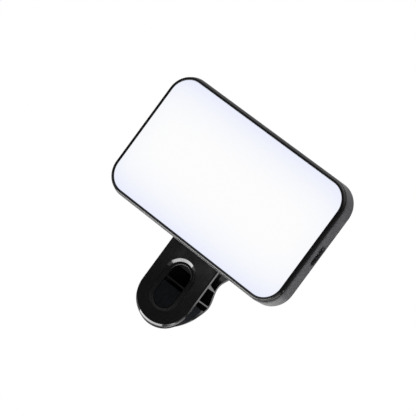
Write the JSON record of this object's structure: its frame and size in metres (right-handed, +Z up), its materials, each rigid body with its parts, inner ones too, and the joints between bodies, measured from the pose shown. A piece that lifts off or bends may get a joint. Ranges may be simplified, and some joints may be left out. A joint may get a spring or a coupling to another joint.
{
  "type": "clip-on selfie fill light",
  "caption": "Flat rounded rectangular fill light with an opal face, swivelling on a spring clip with padded jaws, with a charging port and two side buttons.",
  "frame": {"origin": "middle of the closed jaws' gripping faces", "axes": "+X along the light's long side towards the charging port, +Y from the lit face to the back, +Z up from the clip's tip to the light"},
  "size_m": [0.0966, 0.0391, 0.0927],
  "materials": {
    "gloss_black": "glossy black moulded plastic",
    "satin_black": "fine satin black plastic",
    "opal": "opal diffuser, lit from behind",
    "white_plastic": "matt white plastic",
    "board": "white solder-masked board",
    "green_board": "green solder-masked board",
    "lamp": "phosphor-filled clear resin",
    "cell": "foil pouch",
    "wire_skin": "soft wire insulation",
    "parts_black": "moulded component bodies",
    "steel": "plated steel",
    "clear_plastic": "clear light pipe",
    "silicone": "matt silicone"
  },
  "bodies": {
    "clip_front": {"clip_front_arm": "gloss_black", "front_jaw_pad": "silicone", "torsion_spring": "steel", "friction_washer": "white_plastic"},
    "clip_rear": {"clip_rear_arm": "gloss_black", "rear_jaw_pad": "silicone", "hinge_pin": "steel"},
    "light_head": {"front_bezel": "gloss_black", "diffuser": "opal", "rear_housing": "satin_black", "reflector_frame": "white_plastic", "led_board": "board", "leds": "lamp", "battery": "cell", "battery_leads": "wire_skin", "control_board": "green_board", "board_components": "parts_black", "usb_receptacle": "steel", "usb_tongue": "parts_black", "switch_board": "green_board", "button_switches": "parts_black", "charge_indicator": "clear_plastic", "case_screws": "steel", "swivel_washer": "steel", "swivel_screw": "steel"},
    "power_key": {"power_button": "gloss_black"},
    "mode_key": {"mode_button": "gloss_black"}
  },
  "joints": [
    {"name": "jaw_hinge", "type": "hinge", "parent": "clip_front", "child": "clip_rear", "pos_m": [0, 0.0021, 0.0198], "axis": [1, 0, 0], "range_deg": [0, 28], "stiffness_Nm_per_rad": 0.12, "springref_deg": -34.38, "deforming": ["torsion_spring"]},
    {"name": "light_swivel", "type": "hinge", "parent": "clip_front", "child": "light_head", "pos_m": [0, -0.00305, 0.0532], "axis": [0, 1, 0], "continuous": true},
    {"name": "power_press", "type": "slide", "parent": "light_head", "child": "power_key", "axis": [1, 0, 0], "range_m": [0, 0.0004], "stiffness_N_per_m": 900, "springref_m": -0.0002},
    {"name": "mode_press", "type": "slide", "parent": "light_head", "child": "mode_key", "axis": [1, 0, 0], "range_m": [0, 0.0004], "stiffness_N_per_m": 900, "springref_m": -0.0002}
  ]
}
